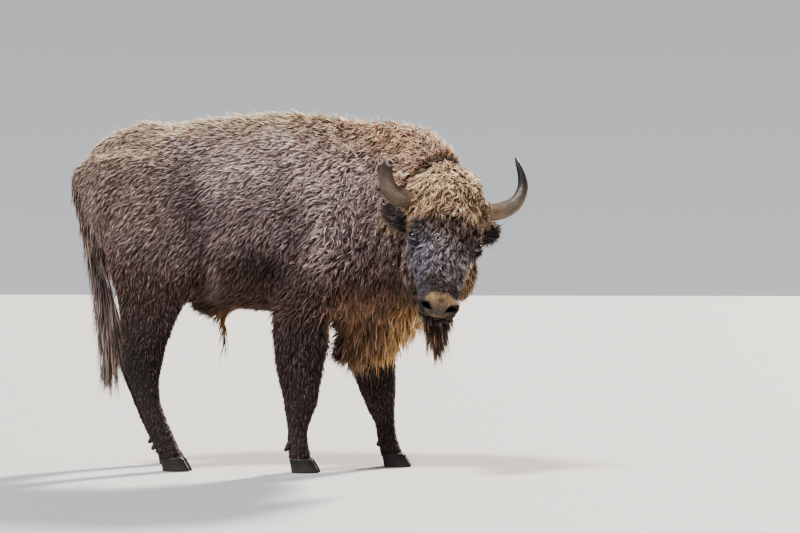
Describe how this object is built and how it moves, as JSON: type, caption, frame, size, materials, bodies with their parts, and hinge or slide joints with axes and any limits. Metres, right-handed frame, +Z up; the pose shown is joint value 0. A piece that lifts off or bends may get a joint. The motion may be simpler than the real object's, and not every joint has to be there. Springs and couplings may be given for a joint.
{
  "type": "wisent",
  "caption": "Life-size still model of a young wisent bull, standing with its head turned to its right and its left foreleg a step ahead.",
  "frame": {"origin": "centre of the bounding box in plan, on the floor that the hooves stand on", "axes": "+X is the way the body faces, +Y is the animal's left, +Z is up"},
  "size_m": [2.1603, 0.8937, 1.6543],
  "materials": {
    "coat": "dense woolly coat, matt",
    "face_coat": "short curly coat, matt",
    "leg_coat": "dark coat, matt",
    "tail_coat": "long coarse hair, matt",
    "horn": "smooth grey-brown horn, satin",
    "hoof": "dark hoof horn, satin",
    "eye": "dark wet eye, glossy"
  },
  "bodies": {
    "root": {"dewclaw_fore_left_inner": "hoof", "dewclaw_fore_left_outer": "hoof", "dewclaw_fore_right_inner": "hoof", "dewclaw_fore_right_outer": "hoof", "dewclaw_hind_left_inner": "hoof", "dewclaw_hind_left_outer": "hoof", "dewclaw_hind_right_inner": "hoof", "dewclaw_hind_right_outer": "hoof", "ear_left": "face_coat", "ear_right": "face_coat", "eye_left": "eye", "eye_right": "eye", "head": "face_coat", "hoof_fore_left_inner": "hoof", "hoof_fore_left_outer": "hoof", "hoof_fore_right_inner": "hoof", "hoof_fore_right_outer": "hoof", "hoof_hind_left_inner": "hoof", "hoof_hind_left_outer": "hoof", "hoof_hind_right_inner": "hoof", "hoof_hind_right_outer": "hoof", "horn_left": "horn", "horn_right": "horn", "leg_fore_left": "leg_coat", "leg_fore_right": "leg_coat", "leg_hind_left": "leg_coat", "leg_hind_right": "leg_coat", "neck": "coat", "tail": "tail_coat", "trunk": "coat"}
  },
  "joints": []
}
